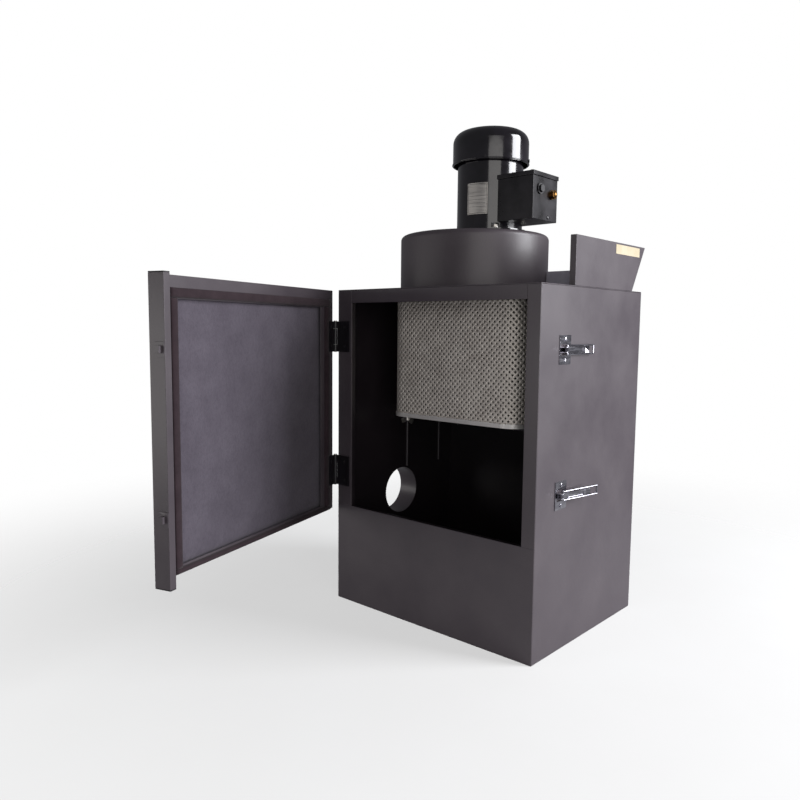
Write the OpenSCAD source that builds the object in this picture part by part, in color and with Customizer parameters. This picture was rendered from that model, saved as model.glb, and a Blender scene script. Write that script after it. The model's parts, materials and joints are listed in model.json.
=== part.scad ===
// Free-standing mist and dust collector: a sheet-steel filter cabinet with a
// hinged door, a motor and blower on its roof, a side outlet cowl and two
// draw latches. The origin is the centre of the base, the front faces -Y.

/* [Cabinet] */
// Width of the cabinet
cab_w = 575; // [480:5:720]
// Depth of the cabinet
cab_d = 456; // [420:2:580]
// Height of the cabinet
cab_h = 780; // [700:5:960]
// Thickness of the cabinet sheet
sheet = 2; // [1.5:0.1:2.5]
// Width of the left front stile, which carries the hinges
left_stile_w = 46; // [44:1:60]
// Width of the right front stile
right_stile_w = 31; // [28:1:50]
// Height of the top front rail
top_rail_h = 32; // [28:1:50]
// Height of the fixed lower front panel
lower_front_h = 245; // [204:1:294]
// Depth of the folded lips round the door opening
fold_d = 14; // [8:1:24]

/* [Inlet] */
// Inside radius of the inlet spigot
inlet_r = 62.5; // [52:0.5:75]
// Height of the inlet axis
inlet_z = 242; // [170:1:290]
// Distance of the inlet axis behind the cabinet centre
inlet_y = 10; // [-40:1:40]
// Length of the spigot outside the wall
inlet_len = 57; // [40:1:80]

/* [Filter] */
// Width of the filter cartridge
cart_w = 380; // [320:2:400]
// Depth of the filter cartridge
cart_d = 290; // [240:2:340]
// Height of the filter cartridge
cart_h = 298; // [240:1:340]
// Corner radius of the filter cartridge
cart_r = 45; // [30:1:60]
// Thickness of the pleated media pack
media_t = 50; // [30:1:60]
// Radius of the hanger rods
rod_r = 4; // [3:0.5:5]

/* [Door] */
// Depth of the door pan
door_t = 27; // [24:1:36]
// How far the door pan laps below the opening
door_lap = 12; // [11:1:20]
// Angle at which the door stands open
door_open = 73; // [0:1:150]
// Width of the edge post on the door's free side
post_w = 16; // [12:1:24]
// Thickness of the door gasket
gasket_t = 8.2; // [6:0.1:12]
// Height of each hinge
hinge_h = 75; // [50:1:90]
// Distance of the upper hinge's middle below the roof
upper_hinge_drop = 114; // [90:1:150]
// Height of the lower hinge's middle above the door's lower edge
lower_hinge_rise = 98; // [80:1:130]

/* [Latches] */
// Distance of the upper latch below the roof
upper_latch_drop = 133; // [100:1:160]
// Height of the lower latch above the door's lower edge
lower_latch_rise = 109; // [80:1:140]
// Height of each latch base
latch_base_h = 60; // [44:1:80]
// Length of the latch lever from its pivot
lever_len = 90; // [60:1:110]
// Reach of the wire bail from its pivot
bail_reach = 111; // [105:1:125]
// Radius of the bail wire
wire_r = 1.9; // [1.5:0.1:2.2]
// Angle at which the lower lever stands off the side
lower_lever_open = 10; // [0:1:30]

/* [Blower] */
// Outside radius of the blower housing
drum_r = 180; // [160:1:215]
// Height of the blower housing
drum_h = 132; // [110:1:160]
// Distance of the housing centre left of the fan axis
drum_offset = 44; // [30:1:52]
// Gap between the impeller and the nearest part of the housing wall
blade_gap = 16; // [6:1:30]
// Number of impeller blades
blade_count = 10; // [6:1:14]
// Radius of the motor shaft
shaft_r = 9.5; // [7:0.5:11]

/* [Motor] */
// Outside radius of the motor frame
motor_r = 78; // [70:1:92]
// Height of the motor frame between its end shields
frame_h = 162; // [140:1:190]
// How far the fan cowl stands out beyond the motor frame
cowl_out = 12; // [8:1:20]
// Height of the fan cowl
fan_cowl_h = 78; // [70:1:110]

/* [Outlet] */
// Width of the outlet cowl
outlet_w = 14; // [12:1:30]
// Height of the outlet cowl
outlet_h = 105; // [80:1:140]
// Height of the neck from the blower to the outlet cowl
neck_h = 45; // [30:1:60]

/* [Hidden] */
$fn = 64;
seam = 0.2;          // welded or bolted joint line
clear = 0.3;         // gap between pieces that move past each other
run = 0.05;          // radial gap of a running fit
round_fn = 96;

side_x = cab_w / 2;
front_y = -cab_d / 2;
rear_y = cab_d / 2;
roof_z = cab_h;
ceiling_z = cab_h - sheet;
wall_x = side_x - sheet;
open_x0 = -side_x + left_stile_w;
open_x1 = side_x - right_stile_w;
open_z1 = cab_h - top_rail_h;

gasket_seat_t = 9;                       // foam seal above the cartridge
cart_top = ceiling_z - gasket_seat_t;
cart_bottom = cart_top - cart_h;
cap_lip = 10;
cap_t = 2;
screen_t = 1.5;
air_r = 75;                              // clean-air hole in the roof
rod_x = cart_w / 2 + rod_r + 6;
rod_y = cart_d / 2 - 80;
bar_t = 12;
bar_w = 20;
bar_z = cart_bottom - bar_t - seam;
rod_bottom = cart_bottom - 140;
nut_h = 8;

pin_r = 3;
knuckle_r = 4.5;
leaf_t = 2.5;
cab_leaf_w = left_stile_w - 6;
rim_y = front_y - clear - gasket_t;      // rear plane of the door rim
skin_y = rim_y - door_t;                 // outer face of the door
door_z0 = lower_front_h - door_lap;
door_z1 = cab_h - 1.5;
hinge_zs = [cab_h - upper_hinge_drop, door_z0 + lower_hinge_rise];
pin_out = 6.5;                           // how far the pins stand outside the cabinet's side
hinge_x = -side_x - pin_out;
hinge_y = (front_y + rim_y) / 2;
lip_w = 42;
hinge_lip_w = 56;                        // the rim is wider on the hinge side
free_lip_w = 23;                         // and narrower beside the edge post
low_lip_w = door_lap + 3;
gasket_in = 22;
free_gasket_in = 3;
gasket_w = 18;
leaf_w = gasket_in - 0.5;
liner_recess = 8;
post_rear = front_y - 0.5;
post_over_top = 3;
post_under = 21;
knuckle_end = 18;                        // height of each outer knuckle

latch_zs = [cab_h - upper_latch_drop, door_z0 + lower_latch_rise];
latch_tilt = [0, lower_lever_open];
latch_base_t = 2;
latch_base_w = 45;
pivot_x = side_x + 9;
pivot_y = front_y + 88;
cheek_t = 2;
hub_w = 8;
cheek_in = hub_w / 2 + clear;
cheek_r = 4.5;
rivet_r = 2;
lever_w = 13;
bail_dx = -1.5;                          // bail pivot, measured from the lever's
bail_dy = 8;
bail_z = lever_w / 2 + 0.7 + wire_r;
post_face = side_x + seam + post_w;      // outer face of the edge post, door shut
// The closed bail leans out just enough to pass the rear corner of the post.
bail_lean = atan((post_face + wire_r + 2 * clear - pivot_x - bail_dx) / (pivot_y + bail_dy - post_rear));
keeper_y = pivot_y + bail_dy - bail_reach * cos(bail_lean) + wire_r + seam;

drum_t = 2;
drum_fillet = 12;
deck_z = roof_z + drum_h;                // top of the blower housing
neck_y0 = drum_r / 3;
neck_y1 = drum_r * 0.5 + 40;
outlet_y0 = front_y + 133;
outlet_y1 = rear_y - 51;
outlet_lean = 62;                        // how far the rear edge leans back
outlet_x0 = side_x - outlet_w;
impeller_z = roof_z + 34;
impeller_h = drum_h - 58;
impeller_r = drum_r - drum_offset - drum_t - blade_gap;
shroud_t = 2;
eye_r = air_r - 10;
bearing_r = 20;
bearing_h = 12;
flange_t = 9;
frame_z = deck_z + seam + flange_t;
frame_top = frame_z + frame_h;
shield_t = 10;
cowl_z = frame_top + seam - 8;
cowl_top = cowl_z + fan_cowl_h;
frame_t = 7;
cowl_r = motor_r + cowl_out;
shaft_bottom = impeller_z + 4;
shaft_top = frame_top + shield_t + 44;
box_w = 104;
box_x1 = motor_r + 75;
box_z0 = deck_z + 23;
box_h = 95;
lid_t = 10;
plate_w = 49;
plate_h = 71;

function ring_points(count, r) = [for (i = [0 : count - 1]) [r * cos(i * 360 / count), r * sin(i * 360 / count)]];

// A block between two opposite corners.
module box(lo, hi) {
    translate(lo) cube(hi - lo);
}

// A rectangle with true round corners.
module round_rect(w, d, r) {
    square([w - 2 * r, d], center = true);
    square([w, d - 2 * r], center = true);
    for (sx = [-1, 1], sy = [-1, 1])
        translate([sx * (w / 2 - r), sy * (d / 2 - r)]) circle(r);
}

// A tube whose outline is a rounded rectangle.
module round_rect_tube(w, d, r, t, h) {
    linear_extrude(h) difference() {
        round_rect(w, d, r);
        round_rect(w - 2 * t, d - 2 * t, r - t);
    }
}

module ring(r_out, r_in, h) {
    difference() {
        cylinder(r = r_out, h = h, $fn = round_fn);
        translate([0, 0, -1]) cylinder(r = r_in, h = h + 2, $fn = round_fn);
    }
}

// Half profile of a can with a rounded top edge.
module can_profile(r, h, edge_r) {
    square([r - edge_r, h]);
    square([r, h - edge_r]);
    translate([r - edge_r, h - edge_r]) circle(edge_r);
}

module can_shell(r, h, edge_r, t) {
    rotate_extrude($fn = round_fn) difference() {
        can_profile(r, h, edge_r);
        translate([0, -t]) can_profile(r - t, h, edge_r - t);
    }
}

// ---- cabinet ----

module base_panel() {
    color("#39363a") box([-side_x, front_y, 0], [side_x, rear_y, sheet]);
}

module top_panel() {
    color("#39363a") difference() {
        box([-side_x, front_y, ceiling_z], [side_x, rear_y, roof_z]);
        translate([0, 0, ceiling_z - 1]) cylinder(r = air_r, h = sheet + 2, $fn = round_fn);
    }
}

// One upright wall between the base and the roof.
module wall(x0, y0, x1, y1) {
    box([x0, y0, sheet + seam], [x1, y1, ceiling_z - seam]);
}

module left_side_panel() {
    color("#4a464b") difference() {
        wall(-side_x, front_y + sheet + seam, -wall_x, rear_y);
        translate([-side_x - 1, inlet_y, inlet_z]) rotate([0, 90, 0])
            cylinder(r = inlet_r + screen_t + seam, h = sheet + 2, $fn = round_fn);
    }
}

module right_side_panel() {
    color("#4a464b") wall(wall_x, front_y + sheet + seam, side_x, rear_y);
}

module rear_panel() {
    color("#4a464b") wall(-wall_x + seam, rear_y - sheet, wall_x - seam, rear_y);
}

// A stile is an angle: its face, and a fold into the cabinet at the opening.
module stile(x0, x1, fold_x0) {
    box([x0, front_y, lower_front_h + seam], [x1, front_y + sheet, ceiling_z - seam]);
    box([fold_x0, front_y, lower_front_h + seam],
        [fold_x0 + sheet, front_y + fold_d, open_z1]);
}

module front_left_stile() {
    color("#39363a") stile(-side_x, open_x0, open_x0 - sheet);
}

module front_right_stile() {
    color("#39363a") stile(open_x1, side_x, open_x1);
}

module front_top_rail() {
    color("#39363a") {
        box([open_x0 + seam, front_y, open_z1], [open_x1 - seam, front_y + sheet, ceiling_z - seam]);
        box([open_x0 + seam, front_y, open_z1], [open_x1 - seam, front_y + fold_d, open_z1 + sheet]);
    }
}

module front_lower_panel() {
    color("#484246") {
        box([-side_x, front_y, sheet + seam], [side_x, front_y + sheet, lower_front_h]);
        box([open_x0, front_y, lower_front_h - sheet], [open_x1, front_y + fold_d, lower_front_h]);
    }
}

module inlet_spigot() {
    flange_r = inlet_r + 14;
    color("#8d8a86") translate([-wall_x, inlet_y, inlet_z]) rotate([0, -90, 0]) {
        ring(inlet_r + screen_t, inlet_r, sheet + inlet_len);
        translate([0, 0, sheet]) ring(flange_r, inlet_r, 2);
    }
}

// ---- filter ----

module cartridge_seal() {
    color("#26242a") translate([0, 0, cart_top]) linear_extrude(gasket_seat_t) difference() {
        circle(air_r + 45, $fn = round_fn);
        circle(air_r + 8, $fn = round_fn);
    }
}

module cartridge_top_frame() {
    color("#bdbab4") difference() {
        translate([0, 0, cart_top - cap_lip])
            linear_extrude(cap_lip) round_rect(cart_w + 2 * cap_t, cart_d + 2 * cap_t, cart_r + cap_t);
        translate([0, 0, cart_top - cap_lip - 1])
            linear_extrude(cap_lip - cap_t + 1) round_rect(cart_w, cart_d, cart_r);
        translate([0, 0, cart_top - cap_t - 1]) cylinder(r = air_r, h = cap_t + 2, $fn = round_fn);
    }
}

module cartridge_screen() {
    color("#8a857f") translate([0, 0, cart_bottom + cap_t])
        round_rect_tube(cart_w, cart_d, cart_r, screen_t, cart_h - 2 * cap_t);
}

module cartridge_media() {
    gap = screen_t + seam;
    color("#d9d4c6") translate([0, 0, cart_bottom + cap_t])
        round_rect_tube(cart_w - 2 * gap, cart_d - 2 * gap, cart_r - gap,
            min(media_t, cart_r - gap - 2), cart_h - 2 * cap_t);
}

module cartridge_inner_screen() {
    inset = min(media_t, cart_r - screen_t - seam - 2) + screen_t + 2 * seam;
    in_r = 8;
    color("#8a857f") translate([0, 0, cart_bottom + cap_t]) linear_extrude(cart_h - 2 * cap_t)
        difference() {
            round_rect(cart_w - 2 * inset, cart_d - 2 * inset, in_r);
            round_rect(cart_w - 2 * inset - 2 * screen_t, cart_d - 2 * inset - 2 * screen_t,
                in_r - screen_t);
        }
}

module cartridge_bottom_cap() {
    color("#e4e2dc") difference() {
        translate([0, 0, cart_bottom])
            linear_extrude(cap_lip) round_rect(cart_w + 2 * cap_t, cart_d + 2 * cap_t, cart_r + cap_t);
        translate([0, 0, cart_bottom + cap_t])
            linear_extrude(cap_lip) round_rect(cart_w, cart_d, cart_r);
    }
}

// Repeats a piece at the four hanger rods.
module at_rods() {
    for (sx = [-1, 1], sy = [-1, 1]) translate([sx * rod_x, sy * rod_y, 0]) children();
}

module hanger_rods() {
    color("#6f6c70") at_rods() translate([0, 0, rod_bottom])
        cylinder(r = rod_r, h = ceiling_z - rod_bottom);
}

module clamp_bars() {
    color("#232125") difference() {
        for (sy = [-1, 1])
            box([-rod_x - 14, sy * rod_y - bar_w / 2, bar_z], [rod_x + 14, sy * rod_y + bar_w / 2, bar_z + bar_t]);
        at_rods() translate([0, 0, bar_z - 1]) cylinder(r = rod_r + clear, h = bar_t + 2);
    }
}

module wing_nuts() {
    nut_r = rod_r + 4;
    color("#b9b6b0") at_rods() translate([0, 0, bar_z - seam - nut_h]) {
        ring(nut_r, rod_r + run, nut_h);
        for (side = [-1, 1])
            translate([side * (nut_r + 5), 0, -1]) rotate([0, side * 20, 0])
                cube([13, 2.5, 12], center = true);
    }
}

// ---- blower ----

// The box-shaped air path from the blower housing to the outlet cowl.
module neck_path(inset) {
    box([0, neck_y0 + inset, roof_z + seam + inset],
        [outlet_x0 + 10, neck_y1 - inset, roof_z + neck_h - inset]);
}

// The wrapped band of the housing, with its rolled shoulder.
module blower_housing() {
    color("#3e393e") difference() {
        translate([-drum_offset, 0, roof_z + seam])
            can_shell(drum_r, drum_h - seam, drum_fillet, drum_t);
        neck_path(sheet + seam);
        translate([-drum_offset, 0, deck_z - drum_t - 1])
            cylinder(r = drum_r - drum_fillet, h = drum_t + 2, $fn = round_fn);
    }
}

// The flat plate that closes the housing and carries the motor.
module blower_cover() {
    color("#3e393e") difference() {
        translate([-drum_offset, 0, deck_z - drum_t])
            cylinder(r = drum_r - drum_fillet - seam, h = drum_t, $fn = round_fn);
        translate([0, 0, deck_z - 10]) cylinder(r = shaft_r + 6, h = 20);
    }
}

module fan_inlet_ring() {
    rise = impeller_z - roof_z - clear;
    color("#77747a") translate([0, 0, roof_z + seam]) rotate_extrude($fn = round_fn)
        polygon([[air_r + 18, 0], [air_r + 18, 2], [air_r + 1, 2], [eye_r + 2, 12],
            [eye_r + 2, rise - seam], [eye_r, rise - seam], [eye_r, 11], [air_r - 1, 0]]);
}

module impeller_backplate() {
    hub_r = shaft_r + 12;
    color("#8f8c92") translate([0, 0, impeller_z + impeller_h]) difference() {
        union() {
            translate([0, 0, -shroud_t]) cylinder(r = impeller_r, h = shroud_t, $fn = round_fn);
            translate([0, 0, -36]) cylinder(r = hub_r, h = 36);
        }
        translate([0, 0, -40]) cylinder(r = shaft_r, h = 50);
    }
}

// One blade leans back along an arc from the eye to the rim.
module blade_outline() {
    arc_r = impeller_r * 0.62;
    intersection() {
        difference() {
            circle(impeller_r - 1, $fn = round_fn);
            circle(eye_r + 4, $fn = round_fn);
        }
        translate([impeller_r * 0.42, -impeller_r * 0.45]) difference() {
            circle(arc_r + 1, $fn = round_fn);
            circle(arc_r - 1, $fn = round_fn);
        }
        translate([0, -6]) square(impeller_r * 1.5);
    }
}

module impeller_blades() {
    color("#8f8c92") translate([0, 0, impeller_z + shroud_t])
        linear_extrude(impeller_h - 2 * shroud_t)
            for (i = [0 : blade_count - 1]) rotate(i * 360 / blade_count) blade_outline();
}

module impeller_shroud() {
    color("#8f8c92") translate([0, 0, impeller_z]) ring(impeller_r, eye_r + 2, shroud_t);
}

// ---- motor ----

module motor_shaft() {
    color("#c4c2be") translate([0, 0, shaft_bottom])
        cylinder(r = shaft_r, h = shaft_top - shaft_bottom);
}

module at_flange_bolts() {
    for (p = ring_points(4, motor_r + 2)) rotate(45) translate([p[0], p[1], deck_z]) children();
}

module motor_flange() {
    color("#1c1a1f") difference() {
        union() {
            translate([0, 0, deck_z + seam]) cylinder(r = motor_r + 10, h = flange_t, $fn = round_fn);
            translate([0, 0, deck_z + seam]) cylinder(r = motor_r - frame_t - seam, h = flange_t + 8, $fn = round_fn);
        }
        translate([0, 0, deck_z]) cylinder(r = shaft_r + 2, h = 40);
        translate([0, 0, frame_z + 8 - bearing_h]) cylinder(r = bearing_r, h = 20);
    }
}

module flange_bolts() {
    color("#b8b6b2") at_flange_bolts() translate([0, 0, seam + flange_t + seam]) {
        cylinder(r = 7.5, h = 1.6);
        translate([0, 0, 1.6]) cylinder(r = 6, h = 5, $fn = 6);
    }
}

module motor_frame() {
    color("#17141b") difference() {
        translate([0, 0, frame_z + seam]) ring(motor_r, motor_r - frame_t, frame_h - 2 * seam);
        at_flange_bolts() translate([0, 0, seam]) cylinder(r = 9, h = flange_t + 12);
    }
}

module motor_windings() {
    color("#9a5a2c") translate([0, 0, frame_z + 22])
        ring(motor_r - frame_t - seam, motor_r * 0.55 + 0.5, frame_h - 44);
}

module motor_rotor() {
    color("#8a888c") translate([0, 0, frame_z + 26]) ring(motor_r * 0.55, shaft_r, frame_h - 52);
}

module motor_end_shield() {
    color("#17141b") difference() {
        union() {
            translate([0, 0, frame_top]) cylinder(r = motor_r, h = shield_t, $fn = round_fn);
            translate([0, 0, frame_top - 6]) cylinder(r = motor_r - frame_t - seam, h = 6, $fn = round_fn);
        }
        translate([0, 0, frame_top - 20]) cylinder(r = shaft_r + 2, h = 50);
        translate([0, 0, frame_top - 20]) cylinder(r = bearing_r, h = 20 - 6 + bearing_h);
    }
}

module shaft_bearings() {
    color("#c9c7c3") for (z = [frame_z + 8 - bearing_h, frame_top - 6])
        translate([0, 0, z]) ring(bearing_r, shaft_r + run, bearing_h);
}

module cooling_fan() {
    color("#2b292e") translate([0, 0, frame_top + shield_t + 6]) {
        ring(shaft_r + 8, shaft_r, 26);
        ring(motor_r - 14, shaft_r, 3);
        for (i = [0 : 6]) rotate(i * 360 / 7)
            translate([shaft_r + 4, -1.5, 0]) cube([motor_r - 16 - shaft_r - 4, 3, 24]);
    }
}

module fan_cowl() {
    edge_r = 28;
    color("#14101a") difference() {
        translate([0, 0, cowl_z]) can_shell(cowl_r, fan_cowl_h, edge_r, 2);
        for (i = [0 : 11]) rotate(i * 30)
            translate([14, -2.5, cowl_top - 6]) cube([cowl_r - edge_r - 16, 5, 12]);
        translate([0, 0, cowl_top - 6]) cylinder(r = 6, h = 12);
    }
}

module cowl_screws() {
    color("#9c9aa0") for (i = [0 : 3]) rotate(25 + i * 90)
        translate([cowl_r + seam, 0, cowl_z + 8]) rotate([0, 90, 0]) cylinder(r = 4, h = 2.2);
}

// Everything the terminal box may not reach into: the round motor frame.
module motor_keepout() {
    cylinder(r = motor_r + seam, h = cab_h * 2, $fn = round_fn);
}

module terminal_box() {
    wall_t = 3;
    color("#1a171d") difference() {
        box([motor_r * 0.6, -box_w / 2, box_z0], [box_x1, box_w / 2, box_z0 + box_h]);
        box([motor_r + 6, -box_w / 2 + wall_t, box_z0 + wall_t],
            [box_x1 - wall_t, box_w / 2 - wall_t, box_z0 + box_h + 1]);
        motor_keepout();
    }
}

module terminal_lid() {
    over = 2;
    color("#1a171d") difference() {
        box([motor_r * 0.6, -box_w / 2 - over, box_z0 + box_h + seam],
            [box_x1 + over, box_w / 2 + over, box_z0 + box_h + lid_t]);
        motor_keepout();
    }
}

// A cable entry on the outer face of the terminal box.
module at_entry(y, up) {
    translate([box_x1 + seam, y, box_z0 + up]) rotate([0, 90, 0]) children();
}

module cable_gland() {
    color("#7a6030") at_entry(24, 60) {
        cylinder(r = 11, h = 4, $fn = 6);
        translate([0, 0, 4]) cylinder(r = 8.5, h = 2);
        translate([0, 0, 6]) cylinder(r = 10, h = 5, $fn = 6);
        translate([0, 0, 11]) rotate_extrude() intersection() {
            translate([0, -5]) circle(9);
            square([9, 4]);
        }
    }
}

module blanking_plug() {
    color("#121015") at_entry(-24, 68) {
        cylinder(r = 12, h = 3);
        translate([0, 0, 3]) cylinder(r = 9, h = 5, $fn = 6);
    }
}

module name_plate() {
    half = asin(plate_w / 2 / motor_r);
    middle = -77;
    color("#c9c5bf") translate([0, 0, frame_z + 32]) rotate(middle - half)
        rotate_extrude(angle = 2 * half, $fn = 128)
            translate([motor_r + seam, 0]) square([1, plate_h]);
}

// ---- outlet ----

module outlet_neck() {
    color("#aab0b8") difference() {
        box([0, neck_y0, roof_z + seam], [outlet_x0 - seam, neck_y1, roof_z + neck_h]);
        neck_path(sheet);
        translate([-drum_offset, 0, roof_z]) cylinder(r = drum_r + seam, h = neck_h + 1, $fn = round_fn);
    }
}

// Side view of the cowl: upright front edge, rear edge leaning back.
module outlet_outline(inset) {
    polygon([[outlet_y0 + inset, inset], [outlet_y1 + inset * 4, inset],
        [outlet_y1 + outlet_lean + inset * 4, outlet_h - inset], [outlet_y0 + inset, outlet_h - inset]]);
}

module outlet_solid(x0, x1, inset) {
    translate([x0, 0, roof_z + seam]) rotate([90, 0, 90]) linear_extrude(x1 - x0) outlet_outline(inset);
}

module outlet_cowl() {
    color("#57525a") difference() {
        outlet_solid(outlet_x0, side_x, 0);
        outlet_solid(outlet_x0 + sheet, side_x - sheet, sheet);
        neck_path(sheet);
    }
}

module outlet_grille() {
    lean = atan(outlet_lean / outlet_h);
    slot_pitch = 9;
    long = (outlet_h - 2 * sheet) / cos(lean) - 10;
    w = outlet_w - 2 * sheet - 2 * seam;
    color("#2c2a2e") translate([outlet_x0 + sheet + seam, outlet_y1 - 4, roof_z + seam + sheet + 3])
        rotate([-lean, 0, 0]) difference() {
            cube([w, 1.5, long]);
            for (z = [slot_pitch : slot_pitch : long - slot_pitch])
                translate([2, -1, z]) cube([w - 4, 4, 4]);
        }
}

module blank_label() {
    label_w = 122;
    label_y1 = outlet_y1 + outlet_lean / 2;
    color("#ece3c8") box([side_x + 0.05, label_y1 - label_w, roof_z + outlet_h - 25],
        [side_x + 0.7, label_y1, roof_z + outlet_h - 4]);
}

// ---- door, drawn shut and swung open about its pins ----

module swung() {
    translate([hinge_x, hinge_y, 0]) rotate(-door_open) translate([-hinge_x, -hinge_y, 0]) children();
}

module at_hinges() {
    for (z = hinge_zs) translate([hinge_x, hinge_y, z - hinge_h / 2]) children();
}

// A hinge leaf: its plate lies on y0 to y1, and its knuckles fill the given heights.
module leaf(w, y0, y1, knuckles) {
    plate_x = knuckle_r + clear;
    difference() {
        union() {
            translate([plate_x, y0, 0]) cube([w + pin_out - plate_x, y1 - y0, hinge_h]);
            for (k = knuckles) {
                translate([0, 0, k[0]]) cylinder(r = knuckle_r, h = k[1] - k[0]);
                translate([0, y0, k[0]]) cube([plate_x + 1, y1 - y0, k[1] - k[0]]);
            }
        }
        translate([0, 0, -1]) cylinder(r = pin_r + run, h = hinge_h + 2);
    }
    for (z = [hinge_h * 0.2, hinge_h * 0.8])
        translate([w * 0.62 + pin_out, y0 < 0 ? y1 : y0, z]) rotate([y0 < 0 ? -90 : 90, 0, 0])
            cylinder(r = 4, h = 0.8);
}

module cabinet_hinge_leaves() {
    y_face = front_y - hinge_y;
    color("#151318") at_hinges()
        leaf(cab_leaf_w, y_face - leaf_t, y_face, [[0, knuckle_end], [hinge_h - knuckle_end, hinge_h]]);
}

module door_hinge_leaves() {
    y_face = rim_y - hinge_y;
    color("#151318") swung() at_hinges()
        leaf(leaf_w, y_face, y_face + leaf_t, [[knuckle_end + clear, hinge_h - knuckle_end - clear]]);
}

module hinge_pins() {
    color("#cfcdc9") at_hinges() {
        translate([0, 0, -1]) cylinder(r = pin_r, h = hinge_h + 1 + clear);
        translate([0, 0, hinge_h + clear]) cylinder(r = pin_r + 1, h = 1.5);
    }
}

module door_pan() {
    color("#3b383d") swung() difference() {
        box([-side_x, skin_y, door_z0], [side_x, rim_y, door_z1]);
        box([-side_x + sheet, skin_y + sheet, door_z0 + sheet], [side_x - sheet, rim_y - sheet, door_z1 - sheet]);
        box([-side_x + hinge_lip_w, skin_y + sheet, door_z0 + low_lip_w],
            [side_x - free_lip_w, rim_y + 1, door_z1 - lip_w]);
    }
}

module door_liner() {
    edge = sheet + clear;
    color("#5c5661") swung() box([-side_x + edge, skin_y + edge, door_z0 + edge],
        [side_x - edge, rim_y - liner_recess, door_z1 - edge]);
}

module door_gasket() {
    low = 1;
    out_x0 = -side_x + gasket_in;
    out_x1 = side_x - free_gasket_in;
    out_z1 = door_z1 - gasket_in;
    notch = leaf_t + 2 * clear;
    color("#4c3e42") swung() difference() {
        box([out_x0, rim_y, door_z0 + low], [out_x1, rim_y + gasket_t, out_z1]);
        box([out_x0 + gasket_w, rim_y - 1, door_z0 + door_lap - 1],
            [out_x1 - gasket_w, rim_y + gasket_t + 1, out_z1 - gasket_w]);
        for (z = hinge_zs)
            box([-side_x, rim_y + gasket_t - notch - 0.8, z - hinge_h / 2 - 1],
                [-side_x + cab_leaf_w + 1, rim_y + gasket_t + 1, z + hinge_h / 2 + 1]);
    }
}

module door_edge_post() {
    color("#3e3a3c") swung() difference() {
        box([side_x + seam, skin_y - 1, door_z0 - post_under],
            [side_x + seam + post_w, post_rear, door_z1 + post_over_top]);
        box([side_x + seam + sheet, skin_y - 1 + sheet, door_z0 - post_under - 1],
            [side_x + seam + post_w - sheet, post_rear - sheet, door_z1 + post_over_top + 1]);
    }
}

module post_caps() {
    plug = sheet + seam;
    color("#141216") swung() for (end = [0, 1]) {
        z = end == 0 ? door_z0 - post_under : door_z1 + post_over_top;
        dir = end == 0 ? -1 : 1;
        box([side_x + seam, skin_y - 1, min(z, z + dir * 2)], [side_x + seam + post_w, post_rear, max(z, z + dir * 2)]);
        box([side_x + seam + plug, skin_y - 1 + plug, min(z, z - dir * 8)],
            [side_x + seam + post_w - plug, post_rear - plug, max(z, z - dir * 8)]);
    }
}

// Each keeper is a hooked block on the outer face of the edge post.
module latch_keepers() {
    half = lever_w / 2;
    throat = 2 * wire_r + 2.6;
    lip_x = post_face + bail_reach * sin(bail_lean) - (post_face - pivot_x - bail_dx) + wire_r + 1;
    color("#c9c9cc") swung() for (z = latch_zs) translate([0, keeper_y, z]) {
        box([post_face, -10, -14], [post_face + 1.5, 11, 14]);
        box([post_face + 1.4, 0, -half], [lip_x + 1.5, 5, half]);
        box([lip_x, 0.5 - throat, -half], [lip_x + 1.5, 5, half]);
    }
}

// ---- latches on the right side ----

module latch_bases() {
    slot_y = cheek_r + 8;
    color("#d2d2d6") for (z = latch_zs) translate([pivot_x, pivot_y, z]) {
        difference() {
            box([side_x - pivot_x, -13, -latch_base_h / 2],
                [side_x - pivot_x + latch_base_t, latch_base_w - 13, latch_base_h / 2]);
            for (s = [-1, 1])
                translate([side_x - pivot_x - 1, -8, s > 0 ? cheek_in + cheek_t : -cheek_in - cheek_t - 6])
                    cube([latch_base_t + 2, slot_y + 12, 6]);
        }
        for (s = [-1, 1]) translate([0, 0, s > 0 ? cheek_in : -cheek_in - cheek_t]) difference() {
            union() {
                cylinder(r = cheek_r, h = cheek_t);
                translate([side_x - pivot_x + latch_base_t - 0.1, -cheek_r, 0])
                    cube([pivot_x - side_x - latch_base_t + 0.1, 2 * cheek_r, cheek_t]);
            }
            translate([0, 0, -1]) cylinder(r = rivet_r + run, h = cheek_t + 2);
        }
        for (s = [-1, 1]) translate([side_x - pivot_x + latch_base_t, latch_base_w / 2 - 13, s * (latch_base_h / 2 - 8)])
            rotate([0, 90, 0]) cylinder(r = 4, h = 1.6);
    }
}

module latch_rivets() {
    half = cheek_in + cheek_t;
    color("#a9a9ad") for (z = latch_zs) translate([pivot_x, pivot_y, z - half]) cylinder(r = rivet_r, h = 2 * half);
}

// The lever lies along +Y from its pivot; tilt swings it off the side.
module lever(i) {
    half = lever_w / 2;
    start = cheek_r + 0.8;
    under = 3.5;
    over = 2;
    translate([pivot_x, pivot_y, latch_zs[i]]) rotate(-latch_tilt[i]) difference() {
        union() {
            translate([0, 0, -hub_w / 2]) cylinder(r = 4, h = hub_w);
            box([-under, 0, -hub_w / 2], [over, start + 1, hub_w / 2]);
            box([-under, start, -half], [over, lever_len - 12, half]);
            translate([-under, lever_len - 13, -half]) rotate(-22) cube([2.4, 15, 2 * half]);
        }
        translate([0, 0, -hub_w]) cylinder(r = rivet_r + run, h = 2 * hub_w);
        translate([bail_dx, bail_dy, -lever_w]) cylinder(r = wire_r + run, h = 2 * lever_w);
        box([over - 1.2, start + 14, -half + 2.5], [over + 1, lever_len - 20, half - 2.5]);
    }
}

module upper_latch_lever() {
    color("#d8d8dc") lever(0);
}

module lower_latch_lever() {
    color("#d8d8dc") lever(1);
}

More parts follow.
